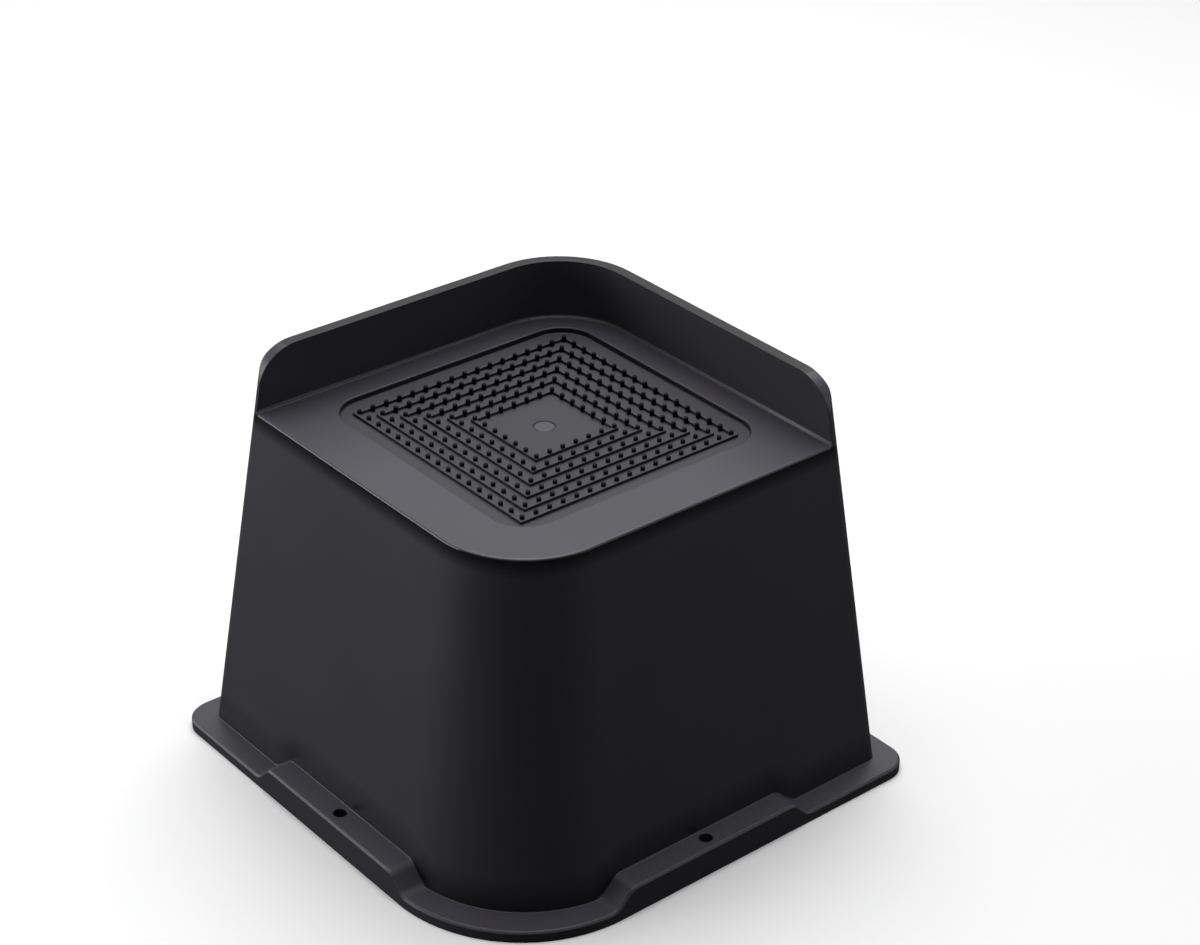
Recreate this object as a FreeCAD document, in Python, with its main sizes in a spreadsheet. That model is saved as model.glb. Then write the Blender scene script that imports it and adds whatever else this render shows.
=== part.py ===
import FreeCAD, Part
import Sketcher
import math
import os

# Bed riser: a one-piece moulded shell that a bed or table leg stands on. A square tower with leaning
# sides carries a platform; two of its sides rise past the platform as a guard that keeps the leg from
# sliding off. The platform has a sunk panel with a square-ring grip pattern. A flange runs round the
# foot and rises in the middle of each side, where a screw hole goes through it.
# Frame: millimetres, +Z up, origin on the floor under the middle of the tower. The guard walls stand
# on the +X and +Y sides, the platform is open towards -X and -Y.

os.makedirs("parts", exist_ok=True)
doc = FreeCAD.newDocument("BedRiser")
V = FreeCAD.Vector

# Driving sizes
SIZES = [
    ("lift", 127.0, "floor to platform"),
    ("guard_rise", 22.7, "platform to rim of the guard wall"),
    ("deck_width", 137.0, "outer width at platform height"),
    ("draft_angle", 6.3, "lean of all outer sides, degrees"),
    ("big_radius", 46.5, "outer radius of the open and the walled corner, at the floor"),
    ("small_radius", 4.0, "outer radius of the two other corners"),
    ("guard_wall", 4.05, "thickness of the guard wall"),
    ("guard_end_radius", 14.0, "rounding of the free ends of the guard wall, seen from the side"),
    ("guard_foot", 0.8, "width of the slope between guard wall and platform"),
    ("deck_edge_radius", 0.9, "rounding of the open platform edges"),
    ("deck_thick", 5.2, "thickness of the platform outside the panel"),
    ("side_wall", 3.8, "thickness of the tower sides"),
    ("panel_margin", 19.6, "open platform edge to the sunk panel"),
    ("panel_gap", 10.55, "sunk panel to the foot of the guard wall"),
    ("panel_radius", 12.5, "corner radius of the panel"),
    ("panel_depth", 2.2, "depth of the panel"),
    ("panel_lip", 0.3, "width of the broken edge at the panel's lip and foot"),
    ("ring_margin", 7.24, "outermost ring to the edge of the panel"),
    ("last_ring", 8, "outermost ring, in pitches from the middle; this sets the pitch"),
    ("first_ring", 3, "innermost ring, in pitches from the middle"),
    ("ring_width", 1.25, "width of a ring"),
    ("ring_rise", 1.05, "height of a ring over the panel"),
    ("stud_margin", 8.2, "outermost row of studs to the edge of the panel; this sets the studs' pitch"),
    ("stud_width", 0.95, "width of a stud"),
    ("stud_rise", 2.0, "height of a stud over the panel"),
    ("gate_mark_radius", 3.75, "radius of the round mark in the middle of the panel"),
    ("gate_mark_depth", 0.15, "depth of that mark"),
    ("gate_line_width", 0.4, "width of the fine groove round that mark"),
    ("gate_line_depth", 0.2, "depth of that groove, below the mark"),
    ("ledge", 8.0, "width of the flange, outside the tower at the floor"),
    ("flange_low", 4.0, "thickness of the flange at the corners"),
    ("flange_high", 10.5, "height of the raised middle of the flange"),
    ("raised_length", 66.0, "length of the raised flat"),
    ("ramp_run", 10.5, "length of the slope beside the raised flat"),
    ("ramp_round", 0.85, "roundness of that slope, 1 for two arcs that meet in its middle"),
    ("flange_big_radius", 51.0, "radius of the flange at the open and the walled corner"),
    ("flange_small_radius", 10.0, "radius of the flange at the two other corners"),
    ("flange_edge", 0.7, "width of the broken upper edge of the flange"),
    ("skirt", 2.2, "thickness of the outer skirt under the raised flange"),
    ("shelf", 3.5, "thickness of the raised flange over its hollow"),
    ("screw_hole", 4.8, "diameter of a screw hole"),
    ("screw_inset", 5.4, "screw hole axis to outer face of the flange"),
    ("web", 3.0, "thickness of the stiffening webs inside"),
    ("web_clear", 2.0, "floor to the lower edge of the webs"),
    ("overcut", 5.0, "how far a cut runs past what it cuts"),
    ("overlap", 1.0, "how far the hollow under the flange reaches into the tower's"),
]
sheet = doc.addObject("Spreadsheet::Sheet", "Sizes")
for row, (alias, value, meaning) in enumerate(SIZES, 1):
    sheet.set("A%d" % row, meaning)
    sheet.set("B%d" % row, str(value))
    sheet.setAlias("B%d" % row, alias)
doc.recompute()


def size(alias):
    return float(getattr(sheet, alias))


# Lengths that follow from the sizes, as expressions
LEAN = "tan(Sizes.draft_angle)"
RIM = "(Sizes.lift + Sizes.guard_rise)"
FOOT_HALF = "(Sizes.deck_width / 2 + Sizes.lift * %s)" % LEAN
FLANGE_HALF = "(%s + Sizes.ledge)" % FOOT_HALF
INNER_HALF = "(Sizes.deck_width / 2 - Sizes.guard_wall)"
lean = math.tan(math.radians(size("draft_angle")))
rim = size("lift") + size("guard_rise")
deck_half = size("deck_width") / 2
foot_half = deck_half + size("lift") * lean
flange_half = foot_half + size("ledge")
inner_half = deck_half - size("guard_wall")

riser = doc.addObject("PartDesign::Body", "Riser")
riser.Label = "riser"
riser.Placement = FreeCAD.Placement(V(0, 0, 0), FreeCAD.Rotation())


def plane(role):
    return [f for f in riser.Origin.OriginFeatures if f.Role == role][0]


def new_sketch(name, role="XY_Plane", height=None):
    # A sketch on an origin plane of the body, lifted along the plane's normal by an expression
    sk = riser.newObject("Sketcher::SketchObject", name)
    sk.AttachmentSupport = [(plane(role), "")]
    sk.MapMode = "FlatFace"
    if height is not None:
        sk.setExpression("AttachmentOffset.Base.z", height)
    return sk


def bind(sk, constraint, expression):
    # Adds a constraint with its present value and ties it to the sheet
    index = sk.addConstraint(constraint)
    sk.setExpression("Constraints[%d]" % index, expression)
    return index


def rounded_square(sk, half, half_expr, radii, radius_exprs, low=None, low_expr=None):
    # A square from -low to +half with the corners, in turn from (-,-) anticlockwise, rounded where
    # a radius is given. Every side has its own distance to the axes.
    low = half if low is None else low
    low_expr = half_expr if low_expr is None else low_expr
    corners = [(-low, -low), (half, -low), (half, half), (-low, half)]
    inward = [(1, 1), (-1, 1), (-1, -1), (1, -1)]
    lines = []
    for i in range(4):
        (xa, ya), (xb, yb) = corners[i], corners[(i + 1) % 4]
        ra, rb = radii[i] or 0.0, radii[(i + 1) % 4] or 0.0
        dx, dy = (xb - xa) / math.hypot(xb - xa, yb - ya), (yb - ya) / math.hypot(xb - xa, yb - ya)
        lines.append(sk.addGeometry(Part.LineSegment(
            V(xa + dx * ra, ya + dy * ra, 0), V(xb - dx * rb, yb - dy * rb, 0)), False))
        sk.addConstraint(Sketcher.Constraint("Horizontal" if dx else "Vertical", lines[i]))
    for i in range(4):
        before, after = lines[i - 1], lines[i]
        r = radii[i]
        if r:
            cx, cy = corners[i][0] + inward[i][0] * r, corners[i][1] + inward[i][1] * r
            start = math.pi + i * math.pi / 2
            arc = sk.addGeometry(Part.ArcOfCircle(
                Part.Circle(V(cx, cy, 0), V(0, 0, 1), r), start, start + math.pi / 2), False)
            sk.addConstraint(Sketcher.Constraint("Tangent", before, 2, arc, 1))
            sk.addConstraint(Sketcher.Constraint("Tangent", arc, 2, after, 1))
            bind(sk, Sketcher.Constraint("Radius", arc, r), radius_exprs[i])
        else:
            sk.addConstraint(Sketcher.Constraint("Coincident", before, 2, after, 1))
    bind(sk, Sketcher.Constraint("DistanceY", lines[0], 1, -1, 1, low), low_expr)
    bind(sk, Sketcher.Constraint("DistanceX", -1, 1, lines[1], 1, half), half_expr)
    bind(sk, Sketcher.Constraint("DistanceY", -1, 1, lines[2], 1, half), half_expr)
    bind(sk, Sketcher.Constraint("DistanceX", lines[3], 1, -1, 1, low), low_expr)


def extrude(kind, name, sk, length=None, taper=None, reverse=False, symmetric=False):
    feature = riser.newObject("PartDesign::" + kind, name)
    feature.Profile = sk
    if length is None:
        feature.Type = "ThroughAll"
    else:
        feature.setExpression("Length", length)
    if taper is not None:
        feature.setExpression("TaperAngle", taper)
    feature.Reversed = reverse
    feature.Midplane = symmetric
    doc.recompute()
    return feature


def edges_where(test):
    # Names of the edges of the body's present shape whose points, five along each, all pass a test
    found = []
    for number, edge in enumerate(riser.Shape.Edges, 1):
        first, last = edge.ParameterRange
        points = [edge.valueAt(first + (last - first) * k / 4.0) for k in range(5)]
        if all(test(p) for p in points):
            found.append("Edge%d" % number)
    return found


def fillet(name, radius, test):
    base = riser.Tip
    names = edges_where(test)
    feature = riser.newObject("PartDesign::Fillet", name)
    feature.Base = (base, names)
    feature.setExpression("Radius", radius)
    doc.recompute()
    return feature


def chamfer(name, width, test):
    base = riser.Tip
    feature = riser.newObject("PartDesign::Chamfer", name)
    feature.Base = (base, edges_where(test))
    feature.setExpression("Size", width)
    doc.recompute()
    return feature




# Tower: the foot's outline drawn up to the rim, with all its sides leaning in from the floor, so that
# the two big corners are cones. The two other corners are rounded evenly.
foot = new_sketch("FootOutline")
rounded_square(foot, foot_half, FOOT_HALF, (size("big_radius"), None) * 2, ("Sizes.big_radius", None) * 2)
extrude("Pad", "Tower", foot, RIM)
sides = ["Face%d" % n for n, face in enumerate(riser.Shape.Faces, 1)
         if face.BoundBox.ZLength > size("lift")]
leaning = riser.newObject("PartDesign::Draft", "LeaningSides")
leaning.Base = (riser.getObject("Tower"), sides)
leaning.NeutralPlane = (plane("XY_Plane"), [""])
leaning.setExpression("Angle", "Sizes.draft_angle")
leaning.Reversed = False
doc.recompute()


def fold(p):
    # Distance of a point of the leaning sides from the middle, measured at the floor
    return p.z * lean + max(abs(p.x), abs(p.y))


fillet("CornerRounds", "Sizes.small_radius",
       lambda p: p.x * p.y < 0 and abs(fold(p) - foot_half) < 0.05 and abs(abs(p.x) - abs(p.y)) < 0.05)

# Seat space: what stays over the platform is the guard wall, of one thickness up to the rim
seat = new_sketch("SeatOutline", height="Sizes.lift")
seat_radius = size("big_radius") - size("lift") * lean - size("guard_wall")
rounded_square(seat, inner_half, INNER_HALF, (None, None, seat_radius, None),
               (None, None, "Sizes.big_radius - Sizes.lift * %s - Sizes.guard_wall" % LEAN, None),
               low=deck_half + size("overcut"), low_expr="Sizes.deck_width / 2 + Sizes.overcut")
extrude("Pocket", "SeatSpace", seat, "Sizes.guard_rise + Sizes.overcut", taper="-Sizes.draft_angle", reverse=True)


# Free ends of the guard wall: a quarter round between the leaning end and the rim
def guard_end(name, role):
    r = size("guard_end_radius")
    zc = rim - r
    xc = -deck_half + (zc - size("lift")) * lean + r / math.cos(math.radians(size("draft_angle")))
    far, above = deck_half + size("overcut"), rim + size("overcut")
    a = math.radians(180.0 - size("draft_angle"))
    ax, az = xc + r * math.cos(a), zc + r * math.sin(a)
    sk = new_sketch(name + "Profile", role)
    arc = sk.addGeometry(Part.ArcOfCircle(Part.Circle(V(xc, zc, 0), V(0, 0, 1), r), math.pi / 2, a), False)
    chain = [(ax, az), (-far, az), (-far, above), (xc, above), (xc, rim)]
    lines = [sk.addGeometry(Part.LineSegment(V(*p, 0), V(*q, 0)), False) for p, q in zip(chain, chain[1:])]
    for k, way in enumerate(("Horizontal", "Vertical", "Horizontal", "Vertical")):
        sk.addConstraint(Sketcher.Constraint(way, lines[k]))
    sk.addConstraint(Sketcher.Constraint("Coincident", arc, 2, lines[0], 1))
    for k in range(3):
        sk.addConstraint(Sketcher.Constraint("Coincident", lines[k], 2, lines[k + 1], 1))
    sk.addConstraint(Sketcher.Constraint("Coincident", lines[3], 2, arc, 1))
    bind(sk, Sketcher.Constraint("Radius", arc, r), "Sizes.guard_end_radius")
    bind(sk, Sketcher.Constraint("DistanceY", -1, 1, arc, 3, zc), "%s - Sizes.guard_end_radius" % RIM)
    bind(sk, Sketcher.Constraint("DistanceX", arc, 3, -1, 1, -xc),
         "Sizes.deck_width / 2 - (Sizes.guard_rise - Sizes.guard_end_radius) * %s"
         " - Sizes.guard_end_radius / cos(Sizes.draft_angle)" % LEAN)
    bind(sk, Sketcher.Constraint("DistanceY", arc, 3, arc, 2, az - zc),
         "Sizes.guard_end_radius * sin(Sizes.draft_angle)")
    bind(sk, Sketcher.Constraint("DistanceX", arc, 3, lines[3], 2, 0.0), "0")
    bind(sk, Sketcher.Constraint("DistanceX", lines[1], 1, -1, 1, far), "Sizes.deck_width / 2 + Sizes.overcut")
    bind(sk, Sketcher.Constraint("DistanceY", -1, 1, lines[2], 1, above), "%s + Sizes.overcut" % RIM)
    return extrude("Pocket", name, sk, symmetric=True)


guard_end("GuardEndLeft", "XZ_Plane")
guard_end("GuardEndRight", "YZ_Plane")

# Platform edges: the guard wall stands on a small fillet, the open edges are rounded over
seat_centre = inner_half - seat_radius


def on_deck(p):
    return abs(p.z - size("lift")) < 0.01


def on_wall_foot(p):
    on_arc = min(p.x, p.y) > seat_centre and abs(
        math.hypot(p.x - seat_centre, p.y - seat_centre) - seat_radius) < 0.02
    return on_deck(p) and (abs(p.x - inner_half) < 0.02 or abs(p.y - inner_half) < 0.02 or on_arc)


fillet("DeckEdge", "Sizes.deck_edge_radius",
       lambda p: on_deck(p) and min(p.x, p.y) < -size("guard_wall")
       and (p.x < -deck_half + 0.5 or p.y < -deck_half + 0.5 or max(p.x, p.y) < 0))
chamfer("GuardFoot", "Sizes.guard_foot", on_wall_foot)

# Flange: a low plate round the foot, and two crossing bands that make its raised middles. Both are
# then trimmed to one outline.
FLANGE_OUT = "%s + Sizes.overcut" % FLANGE_HALF


def flange_outline(sk):
    rounded_square(sk, flange_half, FLANGE_HALF,
                   (size("flange_big_radius"), size("flange_small_radius")) * 2,
                   ("Sizes.flange_big_radius", "Sizes.flange_small_radius") * 2)


plate = new_sketch("FlangeOutline")
flange_outline(plate)
extrude("Pad", "FlangePlate", plate, "Sizes.flange_low")


RAMP_RISE = "(Sizes.flange_high - Sizes.flange_low)"
RAMP_RADIUS = "Sizes.ramp_round * (Sizes.ramp_run ^ 2 + %s ^ 2) / (4 * %s)" % (RAMP_RISE, RAMP_RISE)


def band(name, role):
    # Profile of a raised middle: flat on top, an S-shaped slope down to the plate at each end
    lo, hi = size("flange_low"), size("flange_high")
    r = size("ramp_round") * (size("ramp_run") ** 2 + (hi - lo) ** 2) / (4 * (hi - lo))
    b = size("raised_length") / 2
    a = b + size("ramp_run")
    # The slope is the inner common tangent of its two arcs
    dx, dz = a - b, (lo + r) - (hi - r)
    span = math.hypot(dx, dz)
    turn = math.acos(2 * r / span) + math.atan2(dz, dx)
    nx, nz = math.cos(turn), math.sin(turn)
    hx, hz = b + r * nx, hi - r + r * nz
    fx, fz = a - r * nx, lo + r - r * nz
    sk = new_sketch(name + "Profile", role)
    add = sk.addGeometry
    base = add(Part.LineSegment(V(-a, 0, 0), V(a, 0, 0)), False)
    flat = add(Part.LineSegment(V(b, hi, 0), V(-b, hi, 0)), False)
    sk.addConstraint(Sketcher.Constraint("Horizontal", base))
    sk.addConstraint(Sketcher.Constraint("Horizontal", flat))
    for s in (1, -1):
        end, corner = (2, 1) if s > 0 else (1, 2)
        rise = add(Part.LineSegment(V(s * a, 0, 0), V(s * a, lo, 0)), False)
        t0 = math.atan2(fz - lo - r, s * (fx - a))
        low_arc = Part.ArcOfCircle(Part.Circle(V(s * a, lo + r, 0), V(0, 0, 1), r),
                                   *((t0, -math.pi / 2) if s > 0 else (-math.pi / 2, t0)))
        foot_arc = add(low_arc, False)
        t1 = math.atan2(nz, s * nx)
        top_arc = add(Part.ArcOfCircle(Part.Circle(V(s * b, hi - r, 0), V(0, 0, 1), r),
                                       *((t1, math.pi / 2) if s > 0 else (math.pi / 2, t1))), False)
        slope = add(Part.LineSegment(V(s * fx, fz, 0), V(s * hx, hz, 0)), False)
        a0, a1 = (2, 1) if s > 0 else (1, 2)
        sk.addConstraint(Sketcher.Constraint("Coincident", base, end, rise, 1))
        sk.addConstraint(Sketcher.Constraint("Vertical", rise))
        sk.addConstraint(Sketcher.Constraint("Coincident", rise, 2, foot_arc, a0))
        sk.addConstraint(Sketcher.Constraint("Tangent", foot_arc, a1, slope, 1))
        sk.addConstraint(Sketcher.Constraint("Tangent", slope, 2, top_arc, a1 if s < 0 else 1))
        sk.addConstraint(Sketcher.Constraint("Tangent", top_arc, 2 if s > 0 else 1, flat, corner))
        bind(sk, Sketcher.Constraint("Radius", foot_arc, r), RAMP_RADIUS)
        bind(sk, Sketcher.Constraint("Radius", top_arc, r), RAMP_RADIUS)
        order = (-1, 1, flat, corner) if s > 0 else (flat, corner, -1, 1)
        bind(sk, Sketcher.Constraint("DistanceX", *order, b), "Sizes.raised_length / 2")
        order = (-1, 1, rise, 2) if s > 0 else (rise, 2, -1, 1)
        bind(sk, Sketcher.Constraint("DistanceX", *order, a), "Sizes.raised_length / 2 + Sizes.ramp_run")
        bind(sk, Sketcher.Constraint("DistanceY", -1, 1, rise, 2, lo), "Sizes.flange_low")
        sk.addConstraint(Sketcher.Constraint("Vertical", foot_arc, 3, rise, 2))
    sk.addConstraint(Sketcher.Constraint("PointOnObject", base, 1, -1))
    bind(sk, Sketcher.Constraint("DistanceY", -1, 1, flat, 1, hi), "Sizes.flange_high")
    return extrude("Pad", name, sk, "2 * %s" % FLANGE_HALF, symmetric=True)


band("BandAlongX", "YZ_Plane")
band("BandAlongY", "XZ_Plane")

# Everything outside the outline goes
trim = new_sketch("FlangeTrim")
flange_outline(trim)
rounded_square(trim, flange_half + size("overcut"), FLANGE_OUT, (None,) * 4, (None,) * 4)
extrude("Pocket", "TrimToOutline", trim, "Sizes.flange_high + Sizes.overcut", reverse=True)


def on_flange_edge(p):
    # Upper outer edge of the flange: on the outline, above the floor, outside the tower
    if p.z < size("flange_low") - 0.01 or p.z > size("flange_high") + 0.01:
        return False
    q = [abs(p.x), abs(p.y)]
    r = size("flange_big_radius") if p.x * p.y > 0 else size("flange_small_radius")
    c = flange_half - r
    if min(q) > c:
        return abs(math.hypot(q[0] - c, q[1] - c) - r) < 0.05
    return abs(max(q) - flange_half) < 0.05


chamfer("FlangeEdge", "Sizes.flange_edge", on_flange_edge)

# Inside: hollow up to the platform, and under each raised middle of the flange
hollow = new_sketch("HollowOutline")
hollow_radius = size("big_radius") - size("side_wall")
rounded_square(hollow, foot_half - size("side_wall"), "%s - Sizes.side_wall" % FOOT_HALF,
               (hollow_radius, None) * 2, ("Sizes.big_radius - Sizes.side_wall", None) * 2)
extrude("Pocket", "Hollow", hollow, "Sizes.lift - Sizes.deck_thick", taper="-Sizes.draft_angle", reverse=True)

# Stiffening webs: two that cross under the middle, from the platform down to just over the floor.
# Each follows the lean of the sides and ends inside their thickness.
web_low, web_top = size("web_clear"), size("lift") - (size("deck_thick") + size("panel_depth")) / 2
WEB_TOP = "(Sizes.lift - (Sizes.deck_thick + Sizes.panel_depth) / 2)"
web_reach = [foot_half - z * lean - size("side_wall") / 2 for z in (web_low, web_top)]
web_sketch = new_sketch("WebProfile", "XZ_Plane")
corners = [(-web_reach[0], web_low), (web_reach[0], web_low), (web_reach[1], web_top), (-web_reach[1], web_top)]
lines = [web_sketch.addGeometry(Part.LineSegment(V(*corners[k], 0), V(*corners[(k + 1) % 4], 0)), False)
         for k in range(4)]
for k in range(4):
    web_sketch.addConstraint(Sketcher.Constraint("Coincident", lines[k], 2, lines[(k + 1) % 4], 1))
for line, z, expr in ((lines[0], web_low, "Sizes.web_clear"), (lines[2], web_top, WEB_TOP)):
    reach = foot_half - z * lean - size("side_wall") / 2
    reach_expr = "%s - %s * %s - Sizes.side_wall / 2" % (FOOT_HALF, expr, LEAN)
    right, left = (2, 1) if line == lines[0] else (1, 2)
    web_sketch.addConstraint(Sketcher.Constraint("Horizontal", line))
    bind(web_sketch, Sketcher.Constraint("DistanceY", -1, 1, line, 1, z), expr)
    bind(web_sketch, Sketcher.Constraint("DistanceX", -1, 1, line, right, reach), reach_expr)
    bind(web_sketch, Sketcher.Constraint("DistanceX", line, left, -1, 1, reach), reach_expr)
web = extrude("Pad", "Web", web_sketch, "Sizes.web", symmetric=True)


def repeat(name, original, count, angle):
    # Repeats a feature round the upright axis; the pattern counts once the body's tip is set to it
    feature = riser.newObject("PartDesign::PolarPattern", name)
    feature.Originals = [original]
    feature.Axis = (plane("Z_Axis"), [""])
    feature.Angle = angle
    feature.Occurrences = count
    riser.Tip = feature
    doc.recompute()
    return feature


repeat("Webs", web, 2, 90)

# Hollow under each raised middle, open to the inside, and the screw hole through what is left
under = new_sketch("LedgeHollowOutline")
x0, x1 = foot_half - size("side_wall") - size("overlap"), flange_half - size("skirt")
y1 = size("raised_length") / 2 - size("skirt")
lines = [under.addGeometry(Part.LineSegment(V(*a, 0), V(*b, 0)), False) for a, b in
         (((x0, -y1), (x1, -y1)), ((x1, -y1), (x1, y1)), ((x1, y1), (x0, y1)), ((x0, y1), (x0, -y1)))]
for k, way in enumerate(("Horizontal", "Vertical", "Horizontal", "Vertical")):
    under.addConstraint(Sketcher.Constraint("Coincident", lines[k], 2, lines[(k + 1) % 4], 1))
    under.addConstraint(Sketcher.Constraint(way, lines[k]))
bind(under, Sketcher.Constraint("DistanceX", -1, 1, lines[3], 1, x0),
     "%s - Sizes.side_wall - Sizes.overlap" % FOOT_HALF)
bind(under, Sketcher.Constraint("DistanceX", -1, 1, lines[1], 1, x1), "%s - Sizes.skirt" % FLANGE_HALF)
bind(under, Sketcher.Constraint("DistanceY", lines[0], 1, -1, 1, y1), "Sizes.raised_length / 2 - Sizes.skirt")
bind(under, Sketcher.Constraint("DistanceY", -1, 1, lines[2], 1, y1), "Sizes.raised_length / 2 - Sizes.skirt")
ledge_hollow = extrude("Pocket", "LedgeHollow", under, "Sizes.flange_high - Sizes.shelf", reverse=True)
repeat("LedgeHollows", ledge_hollow, 4, 360)

screw = new_sketch("ScrewHoleOutline", height="Sizes.flange_high")
hole_x = flange_half - size("screw_inset")
c = screw.addGeometry(Part.Circle(V(hole_x, 0, 0), V(0, 0, 1), size("screw_hole") / 2), False)
screw.addConstraint(Sketcher.Constraint("PointOnObject", c, 3, -1))
bind(screw, Sketcher.Constraint("Diameter", c, size("screw_hole")), "Sizes.screw_hole")
bind(screw, Sketcher.Constraint("DistanceX", -1, 1, c, 3, hole_x), "%s - Sizes.screw_inset" % FLANGE_HALF)
screw_hole = extrude("Pocket", "ScrewHole", screw)
repeat("ScrewHoles", screw_hole, 4, 360)

# Sunk panel with its broken edges at lip and foot. It sits nearer to the guard wall than to the open
# edges, so its middle lies off the riser's own.
panel_low, panel_high = deck_half - size("panel_margin"), inner_half - size("panel_gap")
panel_half, shift = (panel_high + panel_low) / 2, (panel_high - panel_low) / 2
pitch = (panel_half - size("ring_margin")) / size("last_ring")
PANEL_LOW = "(Sizes.deck_width / 2 - Sizes.panel_margin)"
PANEL_HIGH = "(Sizes.deck_width / 2 - Sizes.guard_wall - Sizes.panel_gap)"
SHIFT = "((Sizes.panel_margin - Sizes.guard_wall - Sizes.panel_gap) / 2)"
PITCH = "(((%s + %s) / 2 - Sizes.ring_margin) / Sizes.last_ring)" % (PANEL_LOW, PANEL_HIGH)
stud_reach = panel_half - size("stud_margin")
STUD_REACH = "((%s + %s) / 2 - Sizes.stud_margin)" % (PANEL_LOW, PANEL_HIGH)
panel = new_sketch("PanelOutline", height="Sizes.lift")
rounded_square(panel, panel_high, PANEL_HIGH, (size("panel_radius"),) * 4, ("Sizes.panel_radius",) * 4,
               low=panel_low, low_expr=PANEL_LOW)
extrude("Pocket", "Panel", panel, "Sizes.panel_depth")
floor_z = size("lift") - size("panel_depth")


def beside_panel(p):
    return max(abs(p.x - shift), abs(p.y - shift)) < panel_half + 0.01


chamfer("PanelLip", "Sizes.panel_lip", lambda p: on_deck(p) and beside_panel(p))
chamfer("PanelFoot", "Sizes.panel_lip", lambda p: abs(p.z - floor_z) < 0.01 and beside_panel(p))

# Grip pattern: square rings, one pitch apart, and a row of studs along each ring
PANEL_FLOOR = "Sizes.lift - Sizes.panel_depth"
rings = range(int(size("first_ring")), int(size("last_ring")) + 1)
ring_sketch = new_sketch("RingOutlines", height=PANEL_FLOOR)
for k in rings:
    for side in (1, -1):
        half = k * pitch + side * size("ring_width") / 2
        HALF = "%d * %s + %d * Sizes.ring_width / 2" % (k, PITCH, side)
        rounded_square(ring_sketch, half + shift, "%s + %s" % (HALF, SHIFT), (None,) * 4, (None,) * 4,
                       low=half - shift, low_expr="%s - %s" % (HALF, SHIFT))
extrude("Pad", "Rings", ring_sketch, "Sizes.ring_rise")
mark = new_sketch("GateMarkOutline", height=PANEL_FLOOR)
circle = mark.addGeometry(Part.Circle(V(shift, shift, 0), V(0, 0, 1), size("gate_mark_radius")), False)
bind(mark, Sketcher.Constraint("DistanceX", -1, 1, circle, 3, shift), SHIFT)
bind(mark, Sketcher.Constraint("DistanceY", -1, 1, circle, 3, shift), SHIFT)
bind(mark, Sketcher.Constraint("Radius", circle, size("gate_mark_radius")), "Sizes.gate_mark_radius")
extrude("Pocket", "GateMark", mark, "Sizes.gate_mark_depth")
groove = new_sketch("GateLineOutline", height=PANEL_FLOOR)
for inset, inset_expr in ((0.0, ""), (size("gate_line_width"), " - Sizes.gate_line_width")):
    r = size("gate_mark_radius") - inset
    circle = groove.addGeometry(Part.Circle(V(shift, shift, 0), V(0, 0, 1), r), False)
    bind(groove, Sketcher.Constraint("DistanceX", -1, 1, circle, 3, shift), SHIFT)
    bind(groove, Sketcher.Constraint("DistanceY", -1, 1, circle, 3, shift), SHIFT)
    bind(groove, Sketcher.Constraint("Radius", circle, r), "Sizes.gate_mark_radius" + inset_expr)
extrude("Pocket", "GateLine", groove, "Sizes.gate_mark_depth + Sizes.gate_line_depth")

# Studs: a square grid of them, one row along the inner side of each ring, made as a field of their own
# whose middle is left free, then joined to the shell
field = doc.addObject("PartDesign::Body", "StudField")


def field_sketch(name):
    sk = field.newObject("Sketcher::SketchObject", name)
    sk.AttachmentSupport = [([f for f in field.Origin.OriginFeatures if f.Role == "XY_Plane"][0], "")]
    sk.MapMode = "FlatFace"
    sk.setExpression("AttachmentOffset.Base.z", PANEL_FLOOR)
    return sk


corner = stud_reach - shift
sk = field_sketch("CornerStud")
w = size("stud_width") / 2
lines = [sk.addGeometry(Part.LineSegment(V(-corner + w * a[0], -corner + w * a[1], 0),
                                         V(-corner + w * b[0], -corner + w * b[1], 0)), False)
         for a, b in (((-1, -1), (1, -1)), ((1, -1), (1, 1)), ((1, 1), (-1, 1)), ((-1, 1), (-1, -1)))]
for k, way in enumerate(("Horizontal", "Vertical", "Horizontal", "Vertical")):
    sk.addConstraint(Sketcher.Constraint("Coincident", lines[k], 2, lines[(k + 1) % 4], 1))
    sk.addConstraint(Sketcher.Constraint(way, lines[k]))
STUD_NEAR = "%s - %s - Sizes.stud_width / 2" % (STUD_REACH, SHIFT)
bind(sk, Sketcher.Constraint("DistanceX", lines[0], 1, lines[0], 2, 2 * w), "Sizes.stud_width")
bind(sk, Sketcher.Constraint("DistanceY", lines[1], 1, lines[1], 2, 2 * w), "Sizes.stud_width")
bind(sk, Sketcher.Constraint("DistanceX", lines[1], 1, -1, 1, corner - w), STUD_NEAR)
bind(sk, Sketcher.Constraint("DistanceY", lines[2], 1, -1, 1, corner - w), STUD_NEAR)
stud = field.newObject("PartDesign::Pad", "Stud")
stud.Profile = sk
stud.setExpression("Length", "Sizes.stud_rise")
doc.recompute()
grid = field.newObject("PartDesign::MultiTransform", "StudGrid")
steps = []
for name, role in (("StudRow", "X_Axis"), ("StudColumn", "Y_Axis")):
    step = field.newObject("PartDesign::LinearPattern", name)
    step.Direction = ([f for f in field.Origin.OriginFeatures if f.Role == role][0], [""])
    step.setExpression("Length", "2 * %s" % STUD_REACH)
    step.setExpression("Occurrences", "2 * Sizes.last_ring + 1")
    steps.append(step)
grid.Originals = [stud]
grid.Transformations = steps
field.Tip = grid
doc.recompute()
free = field_sketch("FreeMiddle")
free_half = (rings[0] - 0.5) * stud_reach / rings[-1]
FREE_HALF = "(Sizes.first_ring - 0.5) * %s / Sizes.last_ring" % STUD_REACH
rounded_square(free, free_half + shift, "%s + %s" % (FREE_HALF, SHIFT), (None,) * 4, (None,) * 4,
               low=free_half - shift, low_expr="%s - %s" % (FREE_HALF, SHIFT))
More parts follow.
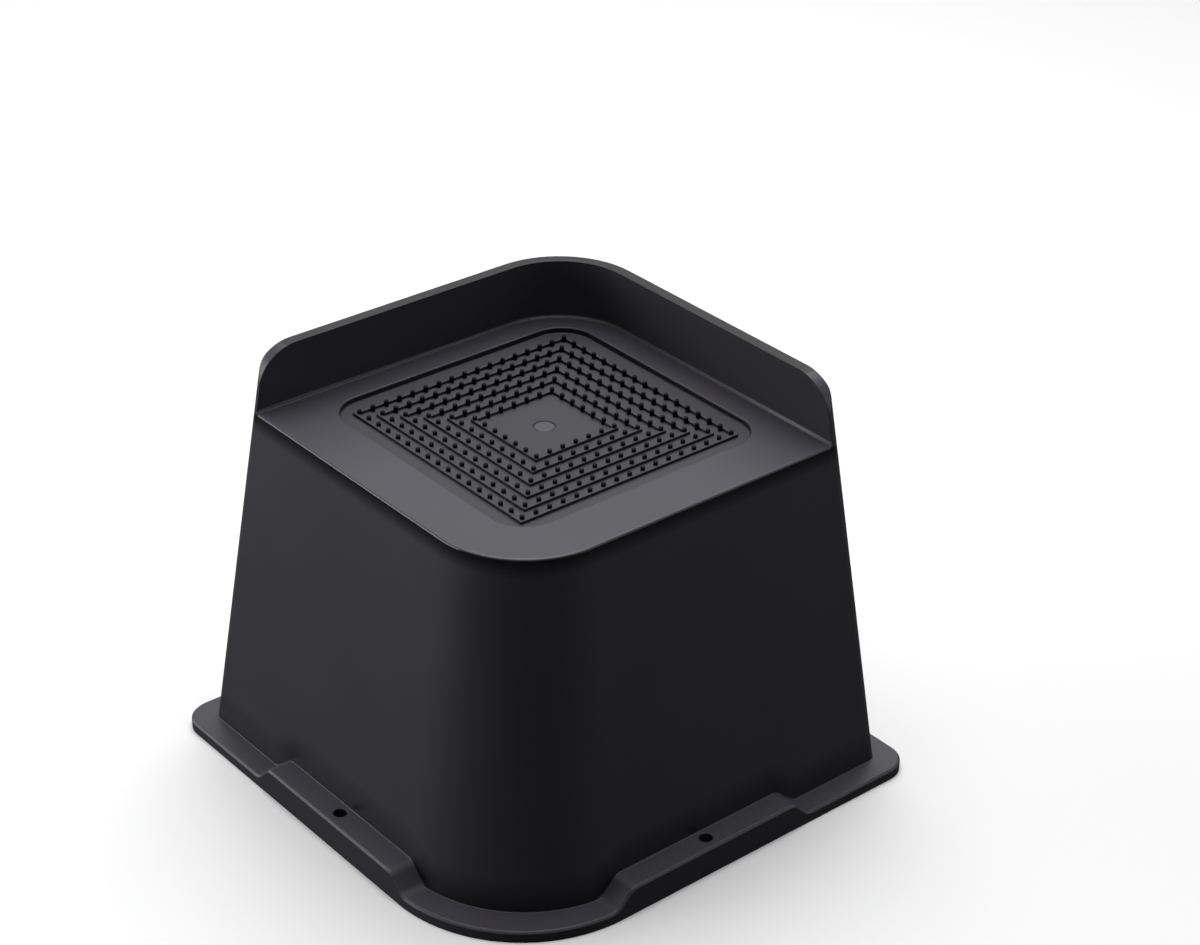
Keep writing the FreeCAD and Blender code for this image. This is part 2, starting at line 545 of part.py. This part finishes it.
clear = field.newObject("PartDesign::Pocket", "Middle")
clear.Profile = free
clear.Type = "ThroughAll"
clear.Reversed = True
doc.recompute()
joined = riser.newObject("PartDesign::Boolean", "Studs")
joined.Type = "Fuse"
joined.setObjects([field])
riser.Tip = joined
doc.recompute()

# Every feature has to have worked before anything is written
bad = [o.Name for o in doc.Objects if "Invalid" in o.State or "Error" in o.State]
if bad:
    raise RuntimeError("failed: %s" % ", ".join(bad))
for part in (riser,):
    if part.Shape.isNull() or not part.Shape.isValid() or len(part.Shape.Solids) != 1:
        raise RuntimeError("no single valid solid: %s" % part.Label)
    part.Shape.exportStep("parts/%s.step" % part.Label)
    box = part.Shape.optimalBoundingBox()
    print(part.Label, "%.1f x %.1f x %.1f mm, %.1f cm3" % (
        box.XLength, box.YLength, box.ZLength, part.Shape.Volume / 1000))
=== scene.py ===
import math

import bmesh
import bpy
from mathutils import Matrix, Vector


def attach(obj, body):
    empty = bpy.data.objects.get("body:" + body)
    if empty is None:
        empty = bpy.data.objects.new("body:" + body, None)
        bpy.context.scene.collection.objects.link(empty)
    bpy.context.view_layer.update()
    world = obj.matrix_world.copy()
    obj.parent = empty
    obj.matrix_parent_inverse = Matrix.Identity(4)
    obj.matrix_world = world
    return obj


bl_info = {
    "name": "Bed Riser Look",
    "version": (1, 0, 0),
    "blender": (4, 5, 0),
    "location": "View3D > Sidebar > Bed Riser",
    "description": "Dresses the bed riser in black moulded plastic and sets up its studio",
    "category": "Object",
}

# The frame: one moulded shell, origin on the floor, guard walls on its +X and +Y sides
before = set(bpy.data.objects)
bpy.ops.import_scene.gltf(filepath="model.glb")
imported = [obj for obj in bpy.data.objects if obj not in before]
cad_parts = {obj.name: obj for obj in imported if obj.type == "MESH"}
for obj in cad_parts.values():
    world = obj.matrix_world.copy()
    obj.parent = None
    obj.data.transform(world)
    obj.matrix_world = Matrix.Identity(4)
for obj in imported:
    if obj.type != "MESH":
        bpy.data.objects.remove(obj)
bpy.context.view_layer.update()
SHELL = "riser"

# Fixed shares of the plastic's look
STUD_DULLNESS = 0.2
STEEP_GLOSS = 0.3
FOOT_GLOSS = 0.1
MARK_RADIUS = 0.0034
MARK_BELOW, MARK_ABOVE = 0.0005, 0.0002

# Where the photo's camera looks at, and where the lights aim, in metres
CAMERA_TARGET = (0.0714, 0.0560, 0.0587)
LIGHT_TARGET = (0.0, 0.0, 0.08)


def linear(*srgb):
    # A colour given as it looks on screen, 0 to 255, as the linear values that sockets take
    out = []
    for value in srgb:
        value = value / 255.0
        out.append(value / 12.92 if value <= 0.04045 else ((value + 0.055) / 1.055) ** 2.4)
    return tuple(out)


class RiserPlasticSettings(bpy.types.PropertyGroup):
    colour: bpy.props.FloatVectorProperty(
        name="Colour", description="Colour of the moulded plastic", subtype="COLOR", size=3,
        min=0.0, max=1.0, default=linear(64, 62, 70))
    roughness: bpy.props.FloatProperty(
        name="Roughness", description="How soft reflections on the flat sides are",
        subtype="FACTOR", min=0.0, max=1.0, default=0.42)
    specular: bpy.props.FloatProperty(
        name="Reflectivity", description="Strength of reflections seen straight on",
        subtype="FACTOR", min=0.0, max=1.0, default=0.5)
    grain_size: bpy.props.FloatProperty(
        name="Grain Size", description="Width of one grain of the mould's fine texture",
        subtype="DISTANCE", unit="LENGTH", min=0.0001, max=0.01, default=0.0007)
    grain_depth: bpy.props.FloatProperty(
        name="Grain Depth", description="Height of that grain", subtype="DISTANCE", unit="LENGTH",
        min=0.0, max=0.001, default=0.00001)
    edge_radius: bpy.props.FloatProperty(
        name="Edge Rounding", description="Radius that sharp edges of the moulding show in the light",
        subtype="DISTANCE", unit="LENGTH", min=0.0, max=0.005, default=0.0006)
    panel_roughness: bpy.props.FloatProperty(
        name="Panel Roughness", description="How much rougher the sunk grip panel is than the sides",
        subtype="FACTOR", min=0.0, max=1.0, default=0.2)
    mark_brightness: bpy.props.FloatProperty(
        name="Mark Brightness", description="How much lighter the round mark in the panel is",
        min=0.0, max=10.0, default=1.0)
    # Painted shade: the steep sides of the rings and studs in the panel are darkened in colour to stand
    # in for their shadows
    grip_side_painted_shade: bpy.props.FloatProperty(
        name="Painted Shade on Grip Sides", description="How much darker the steep sides of rings and studs are",
        subtype="FACTOR", min=0.0, max=1.0, default=0.9)
    panel_darkness: bpy.props.FloatProperty(
        name="Panel Darkness", description="How much darker the sunk panel is than the platform",
        subtype="FACTOR", min=0.0, max=1.0, default=0.28)
    # Painted shade: the top of the guard wall is darkened in colour, standing in for how the light falls
    # on it
    rim_painted_shade: bpy.props.FloatProperty(
        name="Painted Shade on Rim", description="How much darker the top of the guard wall is",
        subtype="FACTOR", min=0.0, max=1.0, default=0.8)
    # Painted shade: the open sides right under the platform edge and the walls right over the flange are
    # darkened in colour
    edge_and_foot_painted_shade: bpy.props.FloatProperty(
        name="Painted Shade at Edge and Foot",
        description="How much darker the sides are right under the platform edge and over the flange",
        subtype="FACTOR", min=0.0, max=1.0, default=0.9)


class RiserStudSettings(bpy.types.PropertyGroup):
    pitch: bpy.props.FloatProperty(
        name="Pitch", description="Distance between two studs of the grip panel",
        subtype="DISTANCE", unit="LENGTH", min=0.001, max=0.05, default=0.0054)
    shift: bpy.props.FloatProperty(
        name="Panel Offset", description="Middle of the panel from the riser's own, along X and along Y",
        subtype="DISTANCE", unit="LENGTH", min=-0.05, max=0.05, default=0.0025)
    first_ring: bpy.props.IntProperty(
        name="First Ring", description="Innermost square row of studs, in pitches from the middle",
        min=1, max=20, default=3)
    last_ring: bpy.props.IntProperty(
        name="Last Ring", description="Outermost square row of studs, in pitches from the middle",
        min=1, max=20, default=8)
    radius: bpy.props.FloatProperty(
        name="Stud Radius", description="Radius of a stud", subtype="DISTANCE", unit="LENGTH",
        min=0.0001, max=0.01, default=0.00078)
    # Painted shade: the studs take a darker, duller copy of the plastic, standing in for the shade on and
    # around them
    shade: bpy.props.FloatProperty(
        name="Stud Painted Shade", description="How light the studs are beside the rest of the plastic",
        subtype="FACTOR", min=0.0, max=1.0, default=0.2)
    base: bpy.props.FloatProperty(
        name="Stud Base", description="Height over the floor at which the studs start",
        subtype="DISTANCE", unit="LENGTH", min=0.0, max=1.0, default=0.12475)
    top: bpy.props.FloatProperty(
        name="Stud Top", description="Height over the floor at which the studs end",
        subtype="DISTANCE", unit="LENGTH", min=0.0, max=1.0, default=0.12702)
    rounding: bpy.props.FloatProperty(
        name="Stud Rounding", description="Width of the broken edge at a stud's top",
        subtype="DISTANCE", unit="LENGTH", min=0.0, max=0.005, default=0.00018)


class RiserStageSettings(bpy.types.PropertyGroup):
    floor_colour: bpy.props.FloatVectorProperty(
        name="Floor Colour", description="Colour of the plain studio floor", subtype="COLOR", size=3,
        min=0.0, max=1.0, default=(0.97, 0.97, 0.97))
    floor_size: bpy.props.FloatProperty(
        name="Floor Size", description="Length of one side of the floor", subtype="DISTANCE",
        unit="LENGTH", min=1.0, max=60.0, default=24.0)
    floor_mirrored: bpy.props.FloatProperty(
        name="Floor in Reflections", description="How bright the floor is in the riser's own sheen",
        subtype="FACTOR", min=0.0, max=1.0, default=0.06)
    sky_mirrored: bpy.props.FloatProperty(
        name="Background in Reflections", description="How bright the background is in that sheen",
        subtype="FACTOR", min=0.0, max=1.0, default=0.25)
    top_light: bpy.props.FloatProperty(
        name="Overhead Light", description="Power of the soft light over the riser",
        unit="POWER", min=0.0, max=500.0, default=27.0)
    back_light: bpy.props.FloatProperty(
        name="Back Light", description="Power of the soft light behind the riser",
        unit="POWER", min=0.0, max=500.0, default=5.0)
    left_light: bpy.props.FloatProperty(
        name="Left Light", description="Power of the soft light on the camera's left",
        unit="POWER", min=0.0, max=500.0, default=15.0)
    right_light: bpy.props.FloatProperty(
        name="Right Light", description="Power of the weak light on the camera's right",
        unit="POWER", min=0.0, max=500.0, default=2.6)
    sky: bpy.props.FloatProperty(
        name="Room Light", description="Strength of the even light from all around",
        min=0.0, max=2.0, default=0.03)
    camera_turn: bpy.props.FloatProperty(
        name="Camera Azimuth", description="Direction from the riser to the camera, from +X",
        subtype="ANGLE", unit="ROTATION", default=math.radians(229.992))
    camera_height: bpy.props.FloatProperty(
        name="Camera Elevation", description="Angle of the camera over the floor",
        subtype="ANGLE", unit="ROTATION", default=math.radians(29.844))
    camera_roll: bpy.props.FloatProperty(
        name="Camera Roll", description="Turn of the camera about its own view",
        subtype="ANGLE", unit="ROTATION", default=math.radians(0.7935))
    camera_distance: bpy.props.FloatProperty(
        name="Camera Distance", description="Camera to the point it looks at",
        subtype="DISTANCE", unit="LENGTH", min=0.1, max=20.0, default=0.9846)
    focal_length: bpy.props.FloatProperty(
        name="Focal Length", description="Focal length for a 36 mm wide image",
        unit="CAMERA", min=10.0, max=400.0, default=80.58)


def mesh_object(name, bm):
    mesh = bpy.data.meshes.new(name)
    bm.to_mesh(mesh)
    bm.free()
    obj = bpy.data.objects.new(name, mesh)
    bpy.context.scene.collection.objects.link(obj)
    return obj


def new_material(name):
    mat = bpy.data.materials.new(name)
    mat.use_nodes = True
    mat.node_tree.nodes.clear()
    return mat


def group_socket(group, name, way, kind, value=None):
    socket = group.interface.new_socket(name, in_out=way, socket_type="NodeSocket" + kind)
    if value is not None:
        socket.default_value = value
    return socket


def moulded_grain_group():
    # Fine matt texture left by the mould, with slow patches where the plastic set a little glossier
    name = "Moulded Grain"
    if name in bpy.data.node_groups:
        return bpy.data.node_groups[name]
    group = bpy.data.node_groups.new(name, "ShaderNodeTree")
    group_socket(group, "Grain Scale", "INPUT", "Float", 1400.0)
    group_socket(group, "Roughness", "INPUT", "Float", 0.42)
    group_socket(group, "Colour", "INPUT", "Color", (0.04, 0.04, 0.045, 1.0))
    group_socket(group, "Colour", "OUTPUT", "Color")
    group_socket(group, "Roughness", "OUTPUT", "Float")
    group_socket(group, "Height", "OUTPUT", "Float")
    nodes, links = group.nodes, group.links
    inp, out = nodes.new("NodeGroupInput"), nodes.new("NodeGroupOutput")
    coords = nodes.new("ShaderNodeTexCoord")
    grain = nodes.new("ShaderNodeTexNoise")
    grain.inputs["Detail"].default_value = 2.0
    grain.inputs["Roughness"].default_value = 0.55
    patches = nodes.new("ShaderNodeTexNoise")
    patches.inputs["Scale"].default_value = 28.0
    patches.inputs["Detail"].default_value = 3.0
    drift = nodes.new("ShaderNodeMapRange")
    drift.inputs["To Min"].default_value = -0.03
    drift.inputs["To Max"].default_value = 0.03
    speck = nodes.new("ShaderNodeMapRange")
    speck.inputs["To Min"].default_value = -0.04
    speck.inputs["To Max"].default_value = 0.04
    add_drift = nodes.new("ShaderNodeMath")
    add_speck = nodes.new("ShaderNodeMath")
    shade = nodes.new("ShaderNodeMapRange")
    shade.inputs["To Min"].default_value = 0.94
    shade.inputs["To Max"].default_value = 1.06
    tint = nodes.new("ShaderNodeVectorMath")
    tint.operation = "SCALE"
    links.new(coords.outputs["Object"], grain.inputs["Vector"])
    links.new(coords.outputs["Object"], patches.inputs["Vector"])
    links.new(inp.outputs["Grain Scale"], grain.inputs["Scale"])
    links.new(patches.outputs["Fac"], drift.inputs["Value"])
    links.new(grain.outputs["Fac"], speck.inputs["Value"])
    links.new(inp.outputs["Roughness"], add_drift.inputs[0])
    links.new(drift.outputs["Result"], add_drift.inputs[1])
    links.new(add_drift.outputs["Value"], add_speck.inputs[0])
    links.new(speck.outputs["Result"], add_speck.inputs[1])
    links.new(add_speck.outputs["Value"], out.inputs["Roughness"])
    links.new(patches.outputs["Fac"], shade.inputs["Value"])
    links.new(inp.outputs["Colour"], tint.inputs[0])
    links.new(shade.outputs["Result"], tint.inputs["Scale"])
    links.new(tint.outputs["Vector"], out.inputs["Colour"])
    links.new(grain.outputs["Fac"], out.inputs["Height"])
    return group


def group_maths(group):
    # A helper that adds a Math node to a group, with links or numbers as its inputs
    def add(operation, *values):
        node = group.nodes.new("ShaderNodeMath")
        node.operation = operation
        for socket, value in zip(node.inputs, values):
            if isinstance(value, (int, float)):
                socket.default_value = value
            else:
                group.links.new(value, socket)
        return node.outputs["Value"]
    return add


def mark_mask_group():
    # 1 on the round mark in the middle of the panel, 0 elsewhere
    name = "Mark Mask"
    if name in bpy.data.node_groups:
        return bpy.data.node_groups[name]
    group = bpy.data.node_groups.new(name, "ShaderNodeTree")
    group_socket(group, "Middle", "INPUT", "Float", 0.0)
    group_socket(group, "Radius", "INPUT", "Float", 0.003)
    group_socket(group, "Low", "INPUT", "Float", 0.0)
    group_socket(group, "High", "INPUT", "Float", 1.0)
    group_socket(group, "Mask", "OUTPUT", "Float")
    inp, out = group.nodes.new("NodeGroupInput"), group.nodes.new("NodeGroupOutput")
    coords = group.nodes.new("ShaderNodeTexCoord")
    split = group.nodes.new("ShaderNodeSeparateXYZ")
    group.links.new(coords.outputs["Object"], split.inputs["Vector"])
    maths = group_maths(group)
    across = maths("SUBTRACT", split.outputs["X"], inp.outputs["Middle"])
    along = maths("SUBTRACT", split.outputs["Y"], inp.outputs["Middle"])
    squares = maths("ADD", maths("MULTIPLY", across, across), maths("MULTIPLY", along, along))
    inside = maths("LESS_THAN", squares, maths("MULTIPLY", inp.outputs["Radius"], inp.outputs["Radius"]))
    over = maths("GREATER_THAN", split.outputs["Z"], inp.outputs["Low"])
    under = maths("LESS_THAN", split.outputs["Z"], inp.outputs["High"])
    group.links.new(maths("MULTIPLY", inside, maths("MULTIPLY", over, under)), out.inputs["Mask"])
    return group


def form_mask_group():
    # Masks that follow the form: the sunk panel, the steep sides in it, the rim, and two strips that
    # fade out, one of the open sides from the platform edge down, one of the walls from the flange up;
    # the steep sides, the rim and both strips are where painted shade goes
    name = "Form Masks"
    if name in bpy.data.node_groups:
        return bpy.data.node_groups[name]
    group = bpy.data.node_groups.new(name, "ShaderNodeTree")
    group_socket(group, "Panel Floor", "INPUT", "Float", 0.1248)
    group_socket(group, "Platform", "INPUT", "Float", 0.127)
    group_socket(group, "Strip", "INPUT", "Float", 0.006)
    group_socket(group, "Open Side", "INPUT", "Float", 0.056)
    group_socket(group, "Rim Height", "INPUT", "Float", 0.1492)
    group_socket(group, "Low Flange", "INPUT", "Float", 0.004)
    group_socket(group, "High Flange", "INPUT", "Float", 0.0105)
    group_socket(group, "Ramp Foot", "INPUT", "Float", 0.0435)
    group_socket(group, "Ramp Run", "INPUT", "Float", 0.0105)
    group_socket(group, "Painted Foot Shade Height", "INPUT", "Float", 0.012)
    group_socket(group, "Panel", "OUTPUT", "Float")
    group_socket(group, "Steep", "OUTPUT", "Float")
    group_socket(group, "Painted Edge Shade", "OUTPUT", "Float")
    group_socket(group, "Rim", "OUTPUT", "Float")
    group_socket(group, "Painted Foot Shade", "OUTPUT", "Float")
    inp, out = group.nodes.new("NodeGroupInput"), group.nodes.new("NodeGroupOutput")
    coords = group.nodes.new("ShaderNodeTexCoord")
    place = group.nodes.new("ShaderNodeSeparateXYZ")
    group.links.new(coords.outputs["Object"], place.inputs["Vector"])
    geometry = group.nodes.new("ShaderNodeNewGeometry")
    facing = group.nodes.new("ShaderNodeSeparateXYZ")
    group.links.new(geometry.outputs["True Normal"], facing.inputs["Vector"])
    maths = group_maths(group)
    z = place.outputs["Z"]
    over = maths("GREATER_THAN", z, maths("SUBTRACT", inp.outputs["Panel Floor"], 0.0005))
    under = maths("LESS_THAN", z, maths("SUBTRACT", inp.outputs["Platform"], 0.00005))
    least = maths("MINIMUM", place.outputs["X"], place.outputs["Y"])
    outside = maths("LESS_THAN", least, maths("MULTIPLY", inp.outputs["Open Side"], -1.0))
    across, along = maths("ABSOLUTE", place.outputs["X"]), maths("ABSOLUTE", place.outputs["Y"])
    most = maths("MAXIMUM", across, along)
    within = maths("LESS_THAN", most, inp.outputs["Open Side"])
    panel = maths("MULTIPLY", maths("MULTIPLY", over, under), within)
    group.links.new(panel, out.inputs["Panel"])
    steep = maths("LESS_THAN", maths("ABSOLUTE", facing.outputs["Z"]), 0.5)
    group.links.new(maths("MULTIPLY", panel, steep), out.inputs["Steep"])
    group.links.new(maths("GREATER_THAN", z, inp.outputs["Rim Height"]), out.inputs["Rim"])
    # Painted shade on the open sides, darkest right under the platform edge and fading out downwards
    turned = maths("LESS_THAN", maths("ADD", facing.outputs["X"], facing.outputs["Y"]), -0.3)
    below = maths("SUBTRACT", maths("SUBTRACT", inp.outputs["Platform"], 0.0004), z)
    fade = maths("SUBTRACT", 1.0, maths("DIVIDE", below, inp.outputs["Strip"]))
    ramp = group.nodes.new("ShaderNodeClamp")
    group.links.new(maths("MULTIPLY", fade, maths("GREATER_THAN", below, 0.0)), ramp.inputs["Value"])
    edge_shade = maths("MULTIPLY", maths("MULTIPLY", ramp.outputs["Result"], turned), outside)
    group.links.new(edge_shade, out.inputs["Painted Edge Shade"])

    # Painted shade on the walls right over the flange, which is higher in the middle of each side, fading
    # out upwards
    climb = group.nodes.new("ShaderNodeClamp")
    run = maths("SUBTRACT", inp.outputs["Ramp Foot"], maths("MINIMUM", across, along))
    group.links.new(maths("DIVIDE", run, inp.outputs["Ramp Run"]), climb.inputs["Value"])
    rise = maths("SUBTRACT", inp.outputs["High Flange"], inp.outputs["Low Flange"])
    flange = maths("MULTIPLY_ADD", climb.outputs["Result"], rise, inp.outputs["Low Flange"])
    height = maths("SUBTRACT", z, flange)
    near = group.nodes.new("ShaderNodeClamp")
    group.links.new(maths("SUBTRACT", 1.0, maths("DIVIDE", height, inp.outputs["Painted Foot Shade Height"])),
                    near.inputs["Value"])
    wall = maths("MULTIPLY", steep, maths("GREATER_THAN", height, 0.0003))
    group.links.new(maths("MULTIPLY", near.outputs["Result"], wall), out.inputs["Painted Foot Shade"])
    return group


def black_plastic(settings, studs, name="Black moulded plastic", shade=1.0):
    # The plastic of the riser; a shade under 1 makes a darker and duller copy of it, which is painted
    # shade
    if name in bpy.data.materials:
        return bpy.data.materials[name]
    mat = new_material(name)
    nodes, links = mat.node_tree.nodes, mat.node_tree.links
    maths = group_maths(mat.node_tree)
    out = nodes.new("ShaderNodeOutputMaterial")
    shader = nodes.new("ShaderNodeBsdfPrincipled")
    shader.inputs["Specular IOR Level"].default_value = settings.specular * shade
    grain = nodes.new("ShaderNodeGroup")
    grain.node_tree = moulded_grain_group()
    grain.inputs["Grain Scale"].default_value = 1.0 / settings.grain_size
    form = nodes.new("ShaderNodeGroup")
    form.node_tree = form_mask_group()
    mark = nodes.new("ShaderNodeGroup")
    mark.node_tree = mark_mask_group()
    mark.inputs["Middle"].default_value = studs.shift
    mark.inputs["Radius"].default_value = MARK_RADIUS
    mark.inputs["Low"].default_value = studs.base - MARK_BELOW
    mark.inputs["High"].default_value = studs.base + MARK_ABOVE

    # The sunk panel is rougher and its round mark lighter; the steep sides, both strips and the rim
    # are darker, which is painted shade
    panel, steep = form.outputs["Panel"], form.outputs["Steep"]
    edge_shade, foot_shade = form.outputs["Painted Edge Shade"], form.outputs["Painted Foot Shade"]
    rough = maths("MULTIPLY_ADD", panel, settings.panel_roughness, settings.roughness)
    rough = maths("ADD", rough, (1.0 - shade) * STUD_DULLNESS)
    rough = maths("ADD", rough, maths("MULTIPLY", maths("ADD", steep, edge_shade), -STEEP_GLOSS))
    rough = maths("ADD", rough, maths("MULTIPLY", foot_shade, -FOOT_GLOSS))
    links.new(rough, grain.inputs["Roughness"])
    light = maths("MULTIPLY_ADD", mark.outputs["Mask"], settings.mark_brightness * shade, shade)
    for mask, darkness in (
            (steep, settings.grip_side_painted_shade), (edge_shade, settings.edge_and_foot_painted_shade),
            (foot_shade, settings.edge_and_foot_painted_shade), (panel, settings.panel_darkness),
            (form.outputs["Rim"], settings.rim_painted_shade)):
        light = maths("MULTIPLY", light, maths("MULTIPLY_ADD", mask, -darkness, 1.0))
    colour = nodes.new("ShaderNodeVectorMath")
    colour.operation = "SCALE"
    colour.inputs[0].default_value = settings.colour
    links.new(light, colour.inputs["Scale"])
    links.new(colour.outputs["Vector"], grain.inputs["Colour"])

    edge = nodes.new("ShaderNodeBevel")
    edge.samples = 6
    edge.inputs["Radius"].default_value = settings.edge_radius
    bump = nodes.new("ShaderNodeBump")
    bump.inputs["Strength"].default_value = 1.0
    bump.inputs["Distance"].default_value = settings.grain_depth
    links.new(grain.outputs["Colour"], shader.inputs["Base Color"])
    links.new(grain.outputs["Roughness"], shader.inputs["Roughness"])
    links.new(grain.outputs["Height"], bump.inputs["Height"])
    links.new(edge.outputs["Normal"], bump.inputs["Normal"])
    links.new(bump.outputs["Normal"], shader.inputs["Normal"])
    links.new(shader.outputs["BSDF"], out.inputs["Surface"])
    return mat


class RISER_OT_shell(bpy.types.Operator):
    """Finish the moulded shell in black plastic"""
    bl_idname = "riser.shell"
    bl_label = "Finish Shell"

    def execute(self, context):
        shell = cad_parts[SHELL]
        mat = black_plastic(context.scene.riser_plastic, context.scene.riser_studs)
        shell.data.materials.clear()
        shell.data.materials.append(mat)
        return {"FINISHED"}


class RISER_OT_studs(bpy.types.Operator):
    """Add the round studs of the grip panel"""
    bl_idname = "riser.studs"
    bl_label = "Add Grip Studs"

    def execute(self, context):
        settings = context.scene.riser_studs
        bm = bmesh.new()
        length = settings.top - settings.base
        middle = (settings.top + settings.base) / 2
        ring = range(-settings.last_ring, settings.last_ring + 1)
        for i in ring:
            for j in ring:
                if max(abs(i), abs(j)) < settings.first_ring:
                    continue
                place = (settings.shift + i * settings.pitch, settings.shift + j * settings.pitch, middle)
                bmesh.ops.create_cone(
                    bm, cap_ends=True, cap_tris=False, segments=12, radius1=settings.radius,
                    radius2=settings.radius, depth=length, matrix=Matrix.Translation(place))
        top_edges = [e for e in bm.edges if all(v.co.z > middle for v in e.verts)]
        bmesh.ops.bevel(bm, geom=top_edges, offset=settings.rounding, offset_type="OFFSET", segments=1,
                        profile=0.5, affect="EDGES", material=-1)
        for face in bm.faces:
            face.smooth = abs(face.normal.z) < 0.9
        studs = mesh_object("Grip_studs", bm)
        # The studs take a darker, duller copy of the plastic as painted shade
        studs.data.materials.append(black_plastic(
            context.scene.riser_plastic, settings, "Black moulded plastic of the studs with painted shade", settings.shade))
        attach(studs, "root")
        return {"FINISHED"}


def seen_directly(nodes, links, mirrored):
    # 1 where the camera sees a surface itself or through glass, and a set share in reflections
    path = nodes.new("ShaderNodeLightPath")
    sheen = nodes.new("ShaderNodeMath")
    sheen.operation = "MULTIPLY"
    sheen.inputs[1].default_value = mirrored
    links.new(path.outputs["Is Glossy Ray"], sheen.inputs[0])
    first = nodes.new("ShaderNodeMath")
    first.operation = "MAXIMUM"
    links.new(path.outputs["Is Camera Ray"], first.inputs[0])
    links.new(sheen.outputs["Value"], first.inputs[1])
    second = nodes.new("ShaderNodeMath")
    second.operation = "MAXIMUM"
    links.new(first.outputs["Value"], second.inputs[0])
    links.new(path.outputs["Is Transmission Ray"], second.inputs[1])
    return second.outputs["Value"]


def soft_light(name, place, target, size, power):
    light = bpy.data.lights.new(name, "AREA")
    light.shape = "RECTANGLE"
    light.size, light.size_y = size
    light.energy = power
    obj = bpy.data.objects.new(name, light)
    aim = (Vector(target) - Vector(place)).to_track_quat("-Z", "Y")
    obj.matrix_world = Matrix.Translation(place) @ aim.to_matrix().to_4x4()
    bpy.context.scene.collection.objects.link(obj)
    return obj


class RISER_OT_stage(bpy.types.Operator):
    """Add the floor, the soft lights and the camera"""
    bl_idname = "riser.stage"
    bl_label = "Set Up Studio"

    def execute(self, context):
        scene = context.scene
        settings = scene.riser_stage

        # Floor
        bm = bmesh.new()
        bmesh.ops.create_grid(bm, x_segments=1, y_segments=1, size=settings.floor_size / 2)
        floor = mesh_object("Studio_floor", bm)
        mat = new_material("Studio floor")
        nodes, links = mat.node_tree.nodes, mat.node_tree.links
        out = nodes.new("ShaderNodeOutputMaterial")
        matt = nodes.new("ShaderNodeBsdfDiffuse")
        tone = nodes.new("ShaderNodeVectorMath")
        tone.operation = "SCALE"
        tone.inputs[0].default_value = settings.floor_colour
        links.new(seen_directly(nodes, links, settings.floor_mirrored), tone.inputs["Scale"])
        links.new(tone.outputs["Vector"], matt.inputs["Color"])
        links.new(matt.outputs["BSDF"], out.inputs["Surface"])
        floor.data.materials.append(mat)

        # Room: an even light, and a white background where it is seen
        world = bpy.data.worlds.new("Studio")
        scene.world = world
        world.use_nodes = True
        nodes, links = world.node_tree.nodes, world.node_tree.links
        nodes.clear()
        out = nodes.new("ShaderNodeOutputWorld")
        even = nodes.new("ShaderNodeBackground")
        even.inputs["Strength"].default_value = settings.sky
        white = nodes.new("ShaderNodeBackground")
        white.inputs["Strength"].default_value = 1.0
        mix = nodes.new("ShaderNodeMixShader")
        links.new(seen_directly(nodes, links, settings.sky_mirrored), mix.inputs["Fac"])
        links.new(even.outputs["Background"], mix.inputs[1])
        links.new(white.outputs["Background"], mix.inputs[2])
        links.new(mix.outputs["Shader"], out.inputs["Surface"])

        # Lights
        soft_light("Overhead", (0.2, 0.2, 1.5), (0.0, 0.0, 0.0), (1.4, 1.4), settings.top_light)
        soft_light("Back", (1.3, 1.3, 1.4), LIGHT_TARGET, (1.8, 1.2), settings.back_light)
        soft_light("Left", (-1.2, 1.1, 0.36), LIGHT_TARGET, (1.6, 0.7), settings.left_light)
        soft_light("Right", (1.1, -1.2, 0.36), LIGHT_TARGET, (1.6, 0.7), settings.right_light)

        # Camera
        turn, height = settings.camera_turn, settings.camera_height
        level = math.cos(height)
        away = Vector((level * math.cos(turn), level * math.sin(turn), math.sin(height)))
        right = (-away).cross(Vector((0, 0, 1))).normalized()
        up = right.cross(-away)
        c, s = math.cos(settings.camera_roll), math.sin(settings.camera_roll)
        x_axis, y_axis = right * c + up * s, up * c - right * s
        target = Vector(CAMERA_TARGET)
        place = target + away * settings.camera_distance
        data = bpy.data.cameras.new("Camera")
        data.sensor_fit = "HORIZONTAL"
        data.sensor_width = 36.0
        data.lens = settings.focal_length
        camera = bpy.data.objects.new("Camera", data)
        axes = Matrix((x_axis, y_axis, away)).transposed().to_4x4()
        camera.matrix_world = Matrix.Translation(place) @ axes
        scene.collection.objects.link(camera)
        scene.camera = camera
        scene.view_settings.view_transform = "Standard"
        return {"FINISHED"}


class RISER_PT_panel(bpy.types.Panel):
    bl_label = "Bed Riser"
    bl_idname = "RISER_PT_panel"
    bl_space_type = "VIEW_3D"
    bl_region_type = "UI"
    bl_category = "Bed Riser"

    def draw(self, context):
        layout = self.layout
        for title, group, operator in (
                ("Shell", context.scene.riser_plastic, "riser.shell"),
                ("Grip Studs", context.scene.riser_studs, "riser.studs"),
                ("Studio", context.scene.riser_stage, "riser.stage")):
            box = layout.box()
            box.label(text=title)
            for key in group.__annotations__:
                box.prop(group, key)
            box.operator(operator)


CLASSES = (RiserPlasticSettings, RiserStudSettings, RiserStageSettings, RISER_OT_shell, RISER_OT_studs,
           RISER_OT_stage, RISER_PT_panel)


def register():
    for cls in CLASSES:
        bpy.utils.register_class(cls)
    bpy.types.Scene.riser_plastic = bpy.props.PointerProperty(type=RiserPlasticSettings)
    bpy.types.Scene.riser_studs = bpy.props.PointerProperty(type=RiserStudSettings)
    bpy.types.Scene.riser_stage = bpy.props.PointerProperty(type=RiserStageSettings)


def unregister():
    del bpy.types.Scene.riser_stage
    del bpy.types.Scene.riser_studs
    del bpy.types.Scene.riser_plastic
    for cls in reversed(CLASSES):
        bpy.utils.unregister_class(cls)


def main():
    register()
    bpy.ops.riser.shell()
    bpy.ops.riser.studs()
    bpy.ops.riser.stage()


if __name__ == "__main__":
    main()
